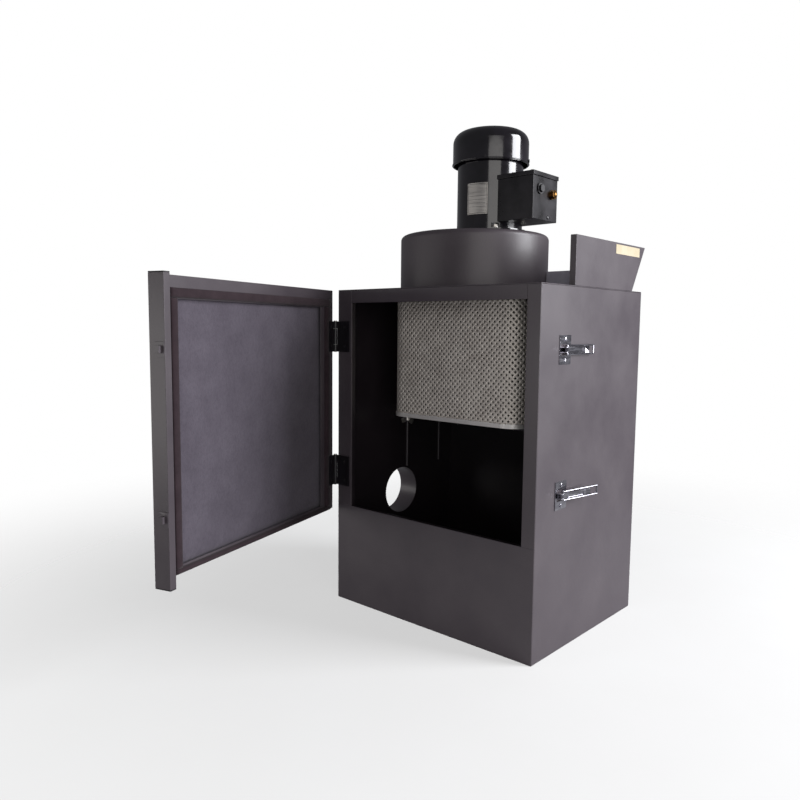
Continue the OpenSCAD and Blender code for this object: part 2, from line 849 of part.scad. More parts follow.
// The bail is a U of wire whose ends turn in through the lever.
module bail(i) {
    translate([pivot_x, pivot_y, latch_zs[i]]) rotate(-latch_tilt[i]) translate([bail_dx, bail_dy, 0]) {
        for (s = [-1, 1]) {
            translate([0, 0, s * bail_z]) rotate([-90, 0, 0]) cylinder(r = wire_r, h = bail_reach);
            translate([0, 0, s * bail_z]) sphere(wire_r, $fn = 32);
            translate([0, bail_reach, s * bail_z]) sphere(wire_r, $fn = 32);
            translate([0, 0, s > 0 ? 2.5 : -bail_z]) cylinder(r = wire_r, h = bail_z - 2.5);
        }
        translate([0, bail_reach, -bail_z]) cylinder(r = wire_r, h = 2 * bail_z);
    }
}

module upper_latch_bail() {
    color("#dadade") bail(0);
}

module lower_latch_bail() {
    color("#dadade") bail(1);
}

base_panel();
top_panel();
left_side_panel();
right_side_panel();
rear_panel();
front_left_stile();
front_right_stile();
front_top_rail();
front_lower_panel();
inlet_spigot();
cartridge_seal();
cartridge_top_frame();
cartridge_screen();
cartridge_media();
cartridge_inner_screen();
cartridge_bottom_cap();
hanger_rods();
clamp_bars();
wing_nuts();
blower_housing();
blower_cover();
fan_inlet_ring();
impeller_backplate();
impeller_blades();
impeller_shroud();
motor_shaft();
motor_flange();
flange_bolts();
motor_frame();
motor_windings();
motor_rotor();
motor_end_shield();
shaft_bearings();
cooling_fan();
fan_cowl();
cowl_screws();
terminal_box();
terminal_lid();
cable_gland();
blanking_plug();
name_plate();
outlet_neck();
outlet_cowl();
outlet_grille();
blank_label();
cabinet_hinge_leaves();
hinge_pins();
door_hinge_leaves();
door_pan();
door_liner();
door_gasket();
door_edge_post();
post_caps();
latch_keepers();
latch_bases();
latch_rivets();
upper_latch_lever();
lower_latch_lever();
upper_latch_bail();
lower_latch_bail();
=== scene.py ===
# %% [markdown]
# # Finishing a mist and dust collector
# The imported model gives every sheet, hinge and latch in its true place, in metres, with
# the floor at z = 0 and the door opening facing -Y. This lesson adds what hard CAD leaves
# out: the foam and sponge on the door, the punched screen and its pleats, screw heads,
# and a finish for every surface. Nothing that came from the CAD is moved.

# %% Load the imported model
import json
from math import asin, cos, hypot, pi, radians, sin, sqrt
import bpy
from mathutils import Matrix, Vector, noise

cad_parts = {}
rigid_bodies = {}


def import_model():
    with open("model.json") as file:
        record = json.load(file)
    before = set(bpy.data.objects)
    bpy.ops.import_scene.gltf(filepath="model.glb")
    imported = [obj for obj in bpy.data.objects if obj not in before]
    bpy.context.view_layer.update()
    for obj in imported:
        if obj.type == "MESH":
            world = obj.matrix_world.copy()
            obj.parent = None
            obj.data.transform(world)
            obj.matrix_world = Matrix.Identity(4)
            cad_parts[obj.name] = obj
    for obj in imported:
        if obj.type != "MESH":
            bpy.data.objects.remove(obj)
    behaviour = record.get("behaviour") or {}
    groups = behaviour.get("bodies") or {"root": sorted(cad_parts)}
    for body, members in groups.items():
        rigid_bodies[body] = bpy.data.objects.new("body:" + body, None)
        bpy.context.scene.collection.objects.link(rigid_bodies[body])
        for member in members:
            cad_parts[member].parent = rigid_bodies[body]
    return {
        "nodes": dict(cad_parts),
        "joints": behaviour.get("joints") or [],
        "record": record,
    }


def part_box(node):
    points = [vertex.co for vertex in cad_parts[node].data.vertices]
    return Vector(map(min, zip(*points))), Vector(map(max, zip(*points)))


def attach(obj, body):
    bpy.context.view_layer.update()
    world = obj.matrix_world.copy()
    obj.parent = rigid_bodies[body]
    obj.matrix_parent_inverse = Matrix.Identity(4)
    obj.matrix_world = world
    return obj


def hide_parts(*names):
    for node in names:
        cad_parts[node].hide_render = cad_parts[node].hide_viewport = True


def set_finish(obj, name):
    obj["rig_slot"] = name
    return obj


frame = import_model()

MM = 0.001
scene = bpy.context.scene
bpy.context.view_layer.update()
joints = {j["name"]: j for j in frame["joints"]}

# %% [markdown]
# ## The camera
# This picture is taken from about waist height with a slightly wide lens. The camera could
# be aimed with a Track To constraint, but a constraint can't hold a small tilt, so its
# three axes are worked out from a turn round the object, a dip and a roll.

# %% Place the camera
camera_at = Vector((1.0430, -1.4750, 0.6880))
turn, dip, roll = radians(42.0), radians(5.63), radians(0.545)
toward_eye = Vector((sin(turn) * cos(dip), -cos(turn) * cos(dip), sin(dip)))
level_right = Vector((cos(turn), sin(turn), 0))
level_up = toward_eye.cross(level_right)
eye_x = level_right * cos(roll) + level_up * sin(roll)
eye_y = level_up * cos(roll) - level_right * sin(roll)

camera = bpy.data.objects.new("camera", bpy.data.cameras.new("camera"))
camera.data.sensor_width = 36
camera.data.lens = 32.79
camera.data.clip_start = 0.02
camera.matrix_world = Matrix.LocRotScale(
    camera_at, Matrix((eye_x, eye_y, toward_eye)).transposed(), None)
scene.collection.objects.link(camera)
scene.camera = camera
print("camera stands", round((camera_at - Vector((0, 0, 0.5))).length, 2), "m off")

# %% [markdown]
# ## Making meshes
# Every new piece is a list of points and faces in millimetres, so that sizes read as they
# would on a drawing. One function turns such a list into an object, hands it to the CAD
# body that it moves with, and says which CAD parts it stands for.

# %% A mesh from points in millimetres
def build(name, points, faces, body=None, slot=None, stands_for=(), smooth=True):
    mesh = bpy.data.meshes.new(name)
    mesh.from_pydata([tuple(Vector(p) * MM) for p in points], [], faces)
    mesh.validate()
    mesh.shade_smooth() if smooth else mesh.shade_flat()
    made = bpy.data.objects.new(name, mesh)
    scene.collection.objects.link(made)
    if body:
        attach(made, body)
    if slot:
        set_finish(made, slot)
    if stands_for:
        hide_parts(*stands_for)
    print(f"{name}: {len(points)} points, {len(faces)} faces")
    return made


def spin(profile, count, centre=(0, 0), closed=False):
    """Turns a profile of (radius, height) round an upright axis."""
    points = [(centre[0] + r * cos(2 * pi * i / count), centre[1] + r * sin(2 * pi * i / count), z)
              for i in range(count) for r, z in profile]
    size = len(profile)
    rows = size if closed else size - 1
    faces = [(i * size + k, ((i + 1) % count) * size + k,
              ((i + 1) % count) * size + (k + 1) % size, i * size + (k + 1) % size)
             for i in range(count) for k in range(rows)]
    return points, faces


def grid_faces(columns, rows, wrap=False):
    """Quads between columns of points, each column holding the same number of rows."""
    last = columns if wrap else columns - 1
    return [(i * rows + k, ((i + 1) % columns) * rows + k,
             ((i + 1) % columns) * rows + k + 1, i * rows + k + 1)
            for i in range(last) for k in range(rows - 1)]

# %% [markdown]
# ## The studio
# Dark enamel shows its room more than its own colour, and a machine that looks black
# stands in a dim room. One tall window-like lamp stands to the right and a little behind:
# it lights the latch side, leaves the front dark, and draws the bright stripe down the
# round motor. Two broad, weak panels, one to the right of the camera and one low to its
# left, open the shadows in the doorway and give the bare steel something to mirror.
# The floor is a pale disc that fades out, so it meets the white ground with no horizon.

# %% A floor disc
floor_profile = [(1, 0), (500, 0), (1000, 0), (2000, 0), (3000, 0)]
studio_floor = build("studio_floor", *spin(floor_profile, 96))

# %% Lamps
def soft_lamp(name, bearing, height, away, width, tall, radiance, tint):
    """A glowing rectangle that faces the machine. Bearing is measured from the front."""
    lamp = bpy.data.lights.new(name, "AREA")
    lamp.shape = "RECTANGLE"
    lamp.size, lamp.size_y = width, tall
    lamp.energy = radiance * pi * width * tall
    lamp.color = tint
    held = bpy.data.objects.new(name, lamp)
    held.location = (away * sin(radians(bearing)), -away * cos(radians(bearing)), height)
    to_machine = Vector((0, 0, 0.6)) - held.location
    held.rotation_euler = to_machine.to_track_quat("-Z", "Y").to_euler()
    scene.collection.objects.link(held)
    print(f"{name}: {lamp.energy:.0f} W")


soft_lamp("window", 117, 1.5, 3.1, 1.6, 2.6, 13.5, (0.96, 0.97, 1.0))
soft_lamp("fill", 50, 0.95, 3.2, 2.4, 1.9, 1.8, (1.0, 0.975, 0.95))
soft_lamp("low_glow", -36, 0.45, 2.8, 2.8, 0.9, 2.0, (1.0, 0.975, 0.95))

# %% A room that is dim to the machine and white to the camera
world = bpy.data.worlds.new("room")
world.use_nodes = True
room_tree = world.node_tree
room = room_tree.nodes["Background"]
room.inputs["Color"].default_value = (0.93, 0.94, 1.0, 1)
room.inputs["Strength"].default_value = 0.16
ground = room_tree.nodes.new("ShaderNodeBackground")
ground.inputs["Color"].default_value = (1, 1, 1, 1)
seen = room_tree.nodes.new("ShaderNodeLightPath")
either = room_tree.nodes.new("ShaderNodeMixShader")
room_tree.links.new(seen.outputs["Is Camera Ray"], either.inputs[0])
room_tree.links.new(room.outputs[0], either.inputs[1])
room_tree.links.new(ground.outputs[0], either.inputs[2])
room_tree.links.new(either.outputs[0], room_tree.nodes["World Output"].inputs["Surface"])
scene.world = world
scene.view_settings.view_transform = "Standard"
scene.view_settings.look = "None"

# %% [markdown]
# ## The door's own space
# The door stands open, but its parts are easiest to describe as they lie when it is shut:
# flat, square to the axes, with x across and z up. The hinge joint gives the pin's place
# and how far the door still has to turn to close, so one function swings a shut-door
# point out to where it stands.

# %% Swing points between shut and open
hinge = joints["door_hinge"]
hinge_x, hinge_y = hinge["pos_m"][0] / MM, hinge["pos_m"][1] / MM
to_close = radians(hinge["range_deg"][1])


def swing(point, angle):
    dx, dy = point[0] - hinge_x, point[1] - hinge_y
    return (hinge_x + dx * cos(angle) - dy * sin(angle),
            hinge_y + dx * sin(angle) + dy * cos(angle), point[2])


def opened(points):
    return [swing(p, -to_close) for p in points]


def shut_box(node):
    """A door part's lowest and highest corners with the door shut, in mm."""
    shut = [swing([c / MM for c in v.co], to_close) for v in frame["nodes"][node].data.vertices]
    return [min(p[k] for p in shut) for k in range(3)], [max(p[k] for p in shut) for k in range(3)]


foam_low, foam_high = shut_box("door_liner")
seal_low, seal_high = shut_box("door_gasket")
print("foam", [round(v, 1) for v in foam_low + foam_high])
print("seal", [round(v, 1) for v in seal_low + seal_high])

# %% [markdown]
# ## Foam panel
# The inside of the door carries a sheet of sound-deadening foam, cut a little large and
# pressed into the tray. Foam cut this way is full in the middle, sinks at its edges and is
# never quite flat. A cloth simulation suits a filled cushion; a cut sheet only needs a
# grid whose surface is crowned and wandering, so it is drawn as one.

# %% Make the foam
foam_cols, foam_rows = 88, 84
foam_back, foam_face = foam_low[1] + 0.2, foam_high[1] - 3.2
foam_wide, foam_tall = foam_high[0] - foam_low[0], foam_high[2] - foam_low[2]
sink_width, sink_curve = 26, 2.2
edge_share, crown = 0.45, 1.6
face_points, back_points = [], []


def foam_rise(u, v):
    """How far the face stands above its sunken edge, 0 to 1. u and v run from 0 to 1."""
    from_side = min(u, 1 - u) * foam_wide
    from_end = min(v, 1 - v) * foam_tall
    return ((1 - max(0, 1 - from_side / sink_width) ** sink_curve)
            * (1 - max(0, 1 - from_end / sink_width) ** sink_curve))


def crowded(share):
    """Moves shares of a length toward both ends, where the foam curves most."""
    return (1 - cos(pi * share)) / 2 * 0.5 + share * 0.5


for i in range(foam_cols):
    for k in range(foam_rows):
        u, v = crowded(i / (foam_cols - 1)), crowded(k / (foam_rows - 1))
        x, z = foam_low[0] + u * foam_wide, foam_low[2] + v * foam_tall
        wander = noise.noise(Vector((x / 95, 0, z / 95))) * 1.1
        wander += noise.noise(Vector((x / 23, 7, z / 23))) * 0.35
        rise = foam_rise(u, v)
        y = foam_back + (foam_face - foam_back) * (edge_share + (1 - edge_share) * rise)
        y += (crown + wander) * rise
        face_points.append((x, y, z))
        back_points.append((x, foam_back, z))
foam_faces = grid_faces(foam_cols, foam_rows)
shift = len(face_points)
foam_faces += [tuple(shift + k for k in reversed(f)) for f in foam_faces]
rim = list(range(foam_rows))
rim += [i * foam_rows + foam_rows - 1 for i in range(1, foam_cols)]
rim += [(foam_cols - 1) * foam_rows + k for k in range(foam_rows - 2, -1, -1)]
rim += [i * foam_rows for i in range(foam_cols - 2, 0, -1)]
foam_faces += [(rim[k], rim[(k + 1) % len(rim)], shift + rim[(k + 1) % len(rim)], shift + rim[k])
               for k in range(len(rim))]
door_foam = build("door_foam", opened(face_points + back_points), foam_faces,
                  "door", "door_foam", ["door_liner"])

# %% [markdown]
# ## Door seal
# Sponge strip is extruded with a flat glued back and a round top, then cut to length and
# butted at the corners. Each strip is that round section carried along a straight line.
# Where a cabinet hinge leaf closes against it the strip is pared down, so the section's
# height is given as a function of the distance along.

# %% Make the four strips
seal_wide, foot_wide = 18.0, 10.0
seal_tall, pared_tall = seal_high[1] - seal_low[1], 4.0
strip_step, strip_arc = 6, 12
shoulder, fullness, end_pinch = 0.30, 0.55, 0.10
hinge_tall, pin_below, pin_above = 75.0, 1.0, 1.8
pins_low, pins_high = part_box("hinge_pins")
hinge_mids = [pins_low.z / MM + pin_below + hinge_tall / 2, pins_high.z / MM - pin_above - hinge_tall / 2]
pared_half, pared_slope = hinge_tall / 2 + 2, 5


def strip_height(x, z):
    """Full height, but pared where a hinge leaf lies over the strip on the pin side."""
    if x > seal_low[0] + seal_wide + 1:
        return seal_tall
    nearest = min(abs(z - mid) for mid in hinge_mids)
    blend = min(1, max(0, (nearest - pared_half) / pared_slope))
    return pared_tall + (seal_tall - pared_tall) * blend


def strip(start, end, across, wide):
    """One strip from start to end, (x, z) pairs; across is the unit way to its outer side."""
    span = hypot(end[0] - start[0], end[1] - start[1])
    along = ((end[0] - start[0]) / span, (end[1] - start[1]) / span)
    steps = max(8, int(span / strip_step))
    points = []
    for i in range(steps + 1):
        x, z = start[0] + along[0] * span * i / steps, start[1] + along[1] * span * i / steps
        tall = strip_height(x, z) * (1 + 0.012 * noise.noise(Vector((x / 40, z / 40, 3))))
        tall = min(tall, seal_tall)
        pinch = 1 - end_pinch if i in (0, steps) else 1
        for k in range(strip_arc + 1):
            t = pi * k / strip_arc
            side = -cos(t) * wide / 2
            dome = shoulder + (1 - shoulder) * sin(t) ** fullness * pinch
            up = tall * dome if 0 < k < strip_arc else 0.0
            points.append((x + across[0] * side, seal_low[1] + up, z + across[1] * side))
    faces = grid_faces(steps + 1, strip_arc + 1)
    faces.append(tuple(range(strip_arc + 1)))
    faces.append(tuple(steps * (strip_arc + 1) + k for k in range(strip_arc, -1, -1)))
    return points, faces


def joined(parts):
    """Several (points, faces) pairs as one pair."""
    points, faces = [], []
    for some_points, some_faces in parts:
        faces += [tuple(len(points) + k for k in f) for f in some_faces]
        points += some_points
    return points, faces


x0, x1 = seal_low[0] + seal_wide / 2, seal_high[0] - seal_wide / 2
z0, z1 = seal_low[2] + foot_wide / 2, seal_high[2] - seal_wide / 2
butt_gap = 0.6
seal_strips = joined([
    strip((x0 - seal_wide / 2, z1), (x1 + seal_wide / 2, z1), (0, 1), seal_wide),
    strip((x0 - seal_wide / 2, z0), (x1 + seal_wide / 2, z0), (0, -1), foot_wide),
    strip((x0, z0 + foot_wide / 2 + butt_gap), (x0, z1 - seal_wide / 2 - butt_gap), (-1, 0), seal_wide),
    strip((x1, z0 + foot_wide / 2 + butt_gap), (x1, z1 - seal_wide / 2 - butt_gap), (1, 0), seal_wide)])
door_seal = build("door_seal", opened(seal_strips[0]), seal_strips[1],
                  "door", "seal_rubber", ["door_gasket"])

# %% [markdown]
# ## The filter cartridge
# The cartridge is a punched steel sleeve wrapped round a pleated pack. Its outline is a
# rectangle with round corners, so everything on it is laid out flat along its girth and
# then wrapped: a distance round the girth becomes a point and a direction outward.

# %% Wrap a distance onto the cartridge's outline
screen_low, screen_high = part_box("cartridge_screen")
screen_half_x = (screen_high.x - screen_low.x) / 2 / MM
screen_half_y = (screen_high.y - screen_low.y) / 2 / MM
screen_r = 45.0
sides = [(2 * (screen_half_y - screen_r), 0), (pi / 2 * screen_r, 1),
         (2 * (screen_half_x - screen_r), 0), (pi / 2 * screen_r, 1)] * 2
girth = sum(length for length, bend in sides)


def wrapped(distance):
    """(x, y) on the outline and the way out, from the middle of the girth's first side."""
    x, y, facing = screen_half_x, -(screen_half_y - screen_r), 0.0
    left = distance % girth
    for length, bend in sides:
        run = min(left, length)
        if bend:
            cx, cy = x - screen_r * cos(facing), y - screen_r * sin(facing)
            facing += run / screen_r
            x, y = cx + screen_r * cos(facing), cy + screen_r * sin(facing)
        else:
            x, y = x - sin(facing) * run, y + cos(facing) * run
        left -= run
        if left <= 0:
            break
    return (x, y), (cos(facing), sin(facing))


print("girth", round(girth), "mm")

# %% [markdown]
# ## Punched screen
# The sleeve is punched with round holes in staggered rows. A picture of holes can't show
# the pleats behind them or the steel's bright edges, so each hole is cut in the mesh: the
# sheet is tiled with diamonds, and every diamond is a ring of quads round a hole.

# %% Punch and wrap the sheet
per_row = round(girth / 13.5)
across_pitch, row_pitch = girth / per_row, 6.8
hole_r, sheet_thick = 2.0, 1.0
per_side = 3
per_hole = 4 * per_side
screen_bottom, screen_top = screen_low.z / MM, screen_high.z / MM
rows = int((screen_top - screen_bottom) / row_pitch)
tops = [((across_pitch / 2, 0), (0, row_pitch)), ((0, row_pitch), (-across_pitch / 2, 0)),
        ((-across_pitch / 2, 0), (0, -row_pitch)), ((0, -row_pitch), (across_pitch / 2, 0))]
screen_points, screen_faces, known = [], [], {}


def screen_point(u, z):
    """The number of the point at this place on the flat sheet; each place is made once."""
    key = (round(u % girth, 2) % round(girth, 2), round(z, 2))
    if key not in known:
        (x, y), _ = wrapped(u)
        known[key] = len(screen_points)
        screen_points.append((x, y, min(max(z, screen_bottom), screen_top)))
    return known[key]


for row in range(1, rows):
    z = screen_bottom + row * row_pitch
    for column in range(per_row):
        u = (column + 0.5 * (row % 2)) * across_pitch
        outer, hole = [], []
        for corner, (a, b) in enumerate(tops):
            for step in range(per_side):
                t = step / per_side
                outer.append(screen_point(u + a[0] * (1 - t) + b[0] * t, z + a[1] * (1 - t) + b[1] * t))
                angle = pi / 2 * (corner + t)
                hole.append(screen_point(u + hole_r * cos(angle), z + hole_r * sin(angle)))
        screen_faces += [(outer[k], outer[(k + 1) % per_hole], hole[(k + 1) % per_hole], hole[k])
                         for k in range(per_hole)]
punched_screen = build("punched_screen", screen_points, screen_faces,
                       "cabinet", "galvanised", ["cartridge_screen"])
sheet = punched_screen.modifiers.new("sheet", "SOLIDIFY")
sheet.thickness = sheet_thick * MM
sheet.offset = -1

# %% [markdown]
# ## Pleated pack
# Behind the screen the felt is folded to and fro like a fan, which gives it many times
# the screen's area. A zigzag between an outer and an inner line is all that it takes.

# %% Fold the pack
media_low, media_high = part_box("cartridge_media")
pleat_pitch, pleat_out, pleat_in = 7.0, 3.0, 38.0
felt_thick, pleat_stray, end_clear = 0.7, 0.4, 0.5
pleat_count = round(girth / pleat_pitch)
pack_points = []
for i in range(pleat_count * 2):
    (x, y), (nx, ny) = wrapped(i * girth / (pleat_count * 2))
    inset = pleat_out if i % 2 else pleat_in
    lean = pleat_stray * noise.noise(Vector((i * 0.37, 1, 5)))
    for z in (media_low.z / MM + end_clear, media_high.z / MM - end_clear):
        pack_points.append((x - nx * inset + lean * ny, y - ny * inset - lean * nx, z))
pleated_pack = build("pleated_pack", pack_points, grid_faces(pleat_count * 2, 2, wrap=True),
                     "cabinet", "filter_media", ["cartridge_media"], smooth=False)
felt = pleated_pack.modifiers.new("felt", "SOLIDIFY")
felt.thickness = felt_thick * MM

# %% [markdown]
# ## Ring seal above the cartridge
# A sponge ring is squeezed between the cartridge and the roof. Squeezed sponge bulges at
# its free sides, so the section is flat above and below and round between.

# %% Make the ring
ring_low, ring_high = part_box("cartridge_seal")
ring_out, ring_hole = ring_high.x / MM, 83.0
ring_z0, ring_z1 = ring_low.z / MM + 0.1, ring_high.z / MM - 0.1
ring_steps, bulge_out, bulge_in = 8, 2.2, 2.0
bulge = [sin(pi * k / ring_steps) for k in range(ring_steps + 1)]
climb = [(ring_z1 - ring_z0) * k / ring_steps for k in range(ring_steps + 1)]
ring_profile = [(ring_out - bulge_out + bulge_out * b, ring_z0 + up) for b, up in zip(bulge, climb)]
ring_profile += [(ring_hole + bulge_in - bulge_in * b, ring_z1 - up) for b, up in zip(bulge, climb)]
roof_seal = build("roof_seal", *spin(ring_profile, 96, closed=True),
                  "cabinet", "seal_rubber", ["cartridge_seal"])

# %% [markdown]
# ## Beads and rolled edges
# Sheet metal is rarely left with a raw edge. The fan cowl's mouth is rolled into a bead,
# and the drum is sealed to the roof with a run of mastic. Both are rings: the bead's
# section is round, and the mastic's is a hollow curve, as a wet finger leaves it.

# %% Make the rings
cowl_low, cowl_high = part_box("fan_cowl")
drum_low, drum_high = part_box("blower_housing")
drum_mid = ((drum_low.x + drum_high.x) / 2 / MM, (drum_low.y + drum_high.y) / 2 / MM)
drum_r = (drum_high.y - drum_low.y) / 2 / MM
cowl_r = cowl_high.x / MM
bead_r, bead_proud, bead_up = 1.6, 0.3, 2.2


def ring_section(radius, height, size, count=12):
    return [(radius + size * cos(2 * pi * k / count), height + size * sin(2 * pi * k / count))
            for k in range(count)]


bead = ring_section(cowl_r + bead_proud, cowl_low.z / MM + bead_up, bead_r)
build("cowl_bead", *spin(bead, 96, closed=True), "cabinet", "motor_paint")
roof_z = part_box("top_panel")[1].z / MM
fillet = [(drum_r - 0.5, roof_z + 0.05), (drum_r + 4, roof_z + 0.05), (drum_r + 3.0, roof_z + 0.6),
          (drum_r + 1.4, roof_z + 1.8), (drum_r + 0.35, roof_z + 4), (drum_r - 0.5, roof_z + 4.4)]
build("drum_mastic", *spin(fillet, 128, centre=drum_mid, closed=True), "cabinet", "blower_paint")

# %% [markdown]
# ## Screw heads
# Pan-head machine screws hold the hinges, latches and covers. Each head is a disc of
# small quads, raised into a dome, with the cross recess pressed down into it. A boolean
# cut would do the same with far more trouble; pressing the points down keeps it light.

# %% Make rows of screw heads
def grid_rings(rings, spokes):
    """Quads between closed rings of points, from the middle outward."""
    return [(j * spokes + i, j * spokes + (i + 1) % spokes,
             (j + 1) * spokes + (i + 1) % spokes, (j + 1) * spokes + i)
            for j in range(rings) for i in range(spokes)]


def screw_heads(name, places, body, slot, radius, tall, swung=False):
    """Places are (centre, outward way) pairs in mm; tall is the height in the middle."""
    rings, spokes = 9, 32
    recess_half, recess_long, recess_deep = radius * 0.13, radius * 0.56, tall * 0.5
    rim_share = 0.70
    parts = []
    for number, (centre, out) in enumerate(places):
        out = Vector(out).normalized()
        one = out.orthogonal().normalized()
        two = out.cross(one)
        twist = 0.5 + 1.7 * number
        arm_one = one * cos(twist) + two * sin(twist)
        arm_two = two * cos(twist) - one * sin(twist)
        points = []
        for j in range(rings + 1):
            r = radius * min(1.0, j / (rings - 1))
            for i in range(spokes):
                a = 2 * pi * i / spokes
                px, py = r * cos(a), r * sin(a)
                dome = rim_share + (1 - rim_share) * sqrt(max(0, 1 - (r / radius) ** 2))
                h = 0.0 if j == rings else tall * dome
                in_cross = min(abs(px), abs(py)) < recess_half and max(abs(px), abs(py)) < recess_long
                if in_cross and j < rings:
                    h -= recess_deep * (1 - 0.4 * r / radius)
                points.append(tuple(Vector(centre) + arm_one * px + arm_two * py + out * h))
        parts.append((points, grid_rings(rings, spokes)))
    points, faces = joined(parts)
    build(name, opened(points) if swung else points, faces, body, slot, smooth=False)


front_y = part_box("front_lower_panel")[0].y / MM
leaf_thick, hole_rise = 2.5, 0.3 * hinge_tall
cabinet_hole_x, door_hole_x = hinge_x + 31.3, hinge_x + 19.83
hole_zs = [z + dz for z in hinge_mids for dz in (-hole_rise, hole_rise)]
cab_leaf = [(cabinet_hole_x, front_y - leaf_thick, z) for z in hole_zs]
door_leaf = [(door_hole_x, seal_low[1] + leaf_thick, z) for z in hole_zs]
hinge_head = ("black_hinge", 4.5, 1.2)
screw_heads("cabinet_hinge_screws", [(p, (0, -1, 0)) for p in cab_leaf], "cabinet", *hinge_head)
screw_heads("door_hinge_screws", [(p, (0, 1, 0)) for p in door_leaf], "door", *hinge_head, swung=True)

side_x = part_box("right_side_panel")[1].x / MM
pivots = [[c / MM for c in joints[j]["pos_m"]] for j in ("upper_lever_hinge", "lower_lever_hinge")]
base_thick, base_mid, base_rise = 2, 9.5, 22
base_screws = [((side_x + base_thick, p[1] + base_mid, p[2] + dz), (1, 0, 0))
               for p in pivots for dz in (-base_rise, base_rise)]
screw_heads("latch_base_screws", base_screws, "cabinet", "latch_chrome", 4.4, 2.3)

lid_high = [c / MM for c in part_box("terminal_lid")[1]]
box_low, box_high = ([c / MM for c in corner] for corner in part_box("terminal_box"))
lid_inset, lid_inner_x, lid_screw_y = 9, 96, 46
lid_screws = [((x, y, lid_high[2]), (0, 0, 1))
              for x in (lid_high[0] - lid_inset, lid_inner_x) for y in (-lid_screw_y, lid_screw_y)]
screw_heads("terminal_lid_screws", lid_screws, "cabinet", "plated_steel", 3.6, 2.2)
earth_y, earth_up = 13, 8
earth_screw = [((box_high[0], earth_y, box_low[2] + earth_up), (1, 0, 0))]
screw_heads("earth_screw", earth_screw, "cabinet", "motor_paint", 4.2, 2.6)

# %% [markdown]
# ## Blank name plate
# The plate is etched aluminium, bent to the motor and held by four drive rivets. It
# carries no wording: only a raised border and the ruled lines of an empty form. Each line
# is a thin strip laid on the curved face.

# %% Rule the plate
plate_low, plate_high = ([c / MM for c in corner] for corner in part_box("name_plate"))
motor_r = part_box("motor_frame")[1].y / MM
plate_seam, plate_thick, plate_half_wide = 0.2, 1.0, 24.5
plate_r = motor_r + plate_seam + plate_thick
plate_mid, plate_half = radians(-77), asin(plate_half_wide / motor_r)
border, line, rule = 2.2, 0.7, 0.45


def plate_strip(a0, a1, z0, z1, proud=0.12):
    """A thin strip on the plate, between two angles and two heights."""
    steps = max(1, round(abs(a1 - a0) / radians(2)))
    points = []
    for i in range(steps + 1):
        a = a0 + (a1 - a0) * i / steps
        points += [((plate_r + proud) * cos(a), (plate_r + proud) * sin(a), z) for z in (z0, z1)]
    return points, grid_faces(steps + 1, 2)


left, right = plate_mid - plate_half + border / motor_r, plate_mid + plate_half - border / motor_r
low, high = plate_low[2] + border, plate_high[2] - border
ruled = [plate_strip(left, right, low, low + line), plate_strip(left, right, high - line, high),
         plate_strip(left, left + line / motor_r, low, high),
         plate_strip(right - line / motor_r, right, low, high)]
for share in (0.22, 0.34, 0.46, 0.58, 0.70):
    z = low + (high - low) * share
    ruled.append(plate_strip(left + 0.03, right - 0.03, z, z + rule))
build("name_plate_lines", *joined(ruled), "cabinet", "motor_paint")
rivet_in = 3.4
rivets = [((plate_r * cos(a), plate_r * sin(a), z), (cos(a), sin(a), 0))
          for a in (left - 0.004, right + 0.004) for z in (plate_low[2] + rivet_in, plate_high[2] - rivet_in)]


def rivet_heads(name, places, body, slot, radius, tall):
    """Small plain domes; places are (centre, outward way) pairs in mm."""
    parts = []
    for centre, out in places:
        dome, faces = spin([(radius * sin(t), tall * cos(t)) for t in
                            (radians(a) for a in (2, 20, 40, 60, 76, 90))], 20)
        turn_to = Vector(out).to_track_quat("Z", "Y")
        parts.append(([tuple(Vector(centre) + turn_to @ Vector(p)) for p in dome], faces))
    build(name, *joined(parts), body, slot)


rivet_heads("name_plate_rivets", rivets, "cabinet", "plated_steel", 1.6, 0.9)

# %% [markdown]
# ## Soft edges on folded sheet
# A folded or sheared sheet has no perfectly sharp edge, and it is the thin line of light
# along each edge that tells the eye it is looking at metal. The CAD meshes stay as they
# are; a weld and a small bevel are added as modifiers on top.

# %% Round the edges
def soften(names, width):
    """Rounds the sharp edges of these CAD parts by a width in mm."""
    for name in names:
        made = frame["nodes"][name]
        weld = made.modifiers.new("weld", "WELD")
        weld.merge_threshold = 0.02 * MM
        bevel = made.modifiers.new("edge", "BEVEL")
        bevel.width = width * MM
        bevel.segments = 2
        bevel.limit_method = "ANGLE"
        bevel.angle_limit = radians(50)
        bevel.harden_normals = True


soften(["top_panel", "left_side_panel", "right_side_panel", "rear_panel", "front_left_stile",
        "front_right_stile", "front_top_rail", "front_lower_panel", "door_pan", "outlet_cowl",
        "base_panel"], 0.7)
soften(["door_edge_post", "post_caps", "terminal_lid", "terminal_box", "clamp_bars"], 0.9)
soften(["latch_bases", "latch_keepers", "upper_latch_lever", "lower_latch_lever"], 0.35)

# %% [markdown]
# ## Finishes
# Each finish is a node material. Colours are chosen as they would be on a swatch, so one
# function turns the swatch value into the linear light that the renderer works in, and
# one small function adds a node with its settings and links.

# %% Helpers for materials
def swatch(hex_text):
    """sRGB hex such as '#808080' to linear red, green, blue and 1."""
    parts = [int(hex_text[k:k + 2], 16) / 255 for k in (1, 3, 5)]
    return (*[p / 12.92 if p <= 0.04045 else ((p + 0.055) / 1.055) ** 2.4 for p in parts], 1.0)


def add(material, kind, settings=(), links=()):
    """Adds one node; settings go to inputs by name or number, or else to the node itself."""
    made = material.node_tree.nodes.new(kind)
    for key, value in dict(settings).items():
        if isinstance(key, int) or key in made.inputs:
            made.inputs[key].default_value = value
        else:
            setattr(made, key, value)
    for key, source in dict(links).items():
        material.node_tree.links.new(source, made.inputs[key])
    return made


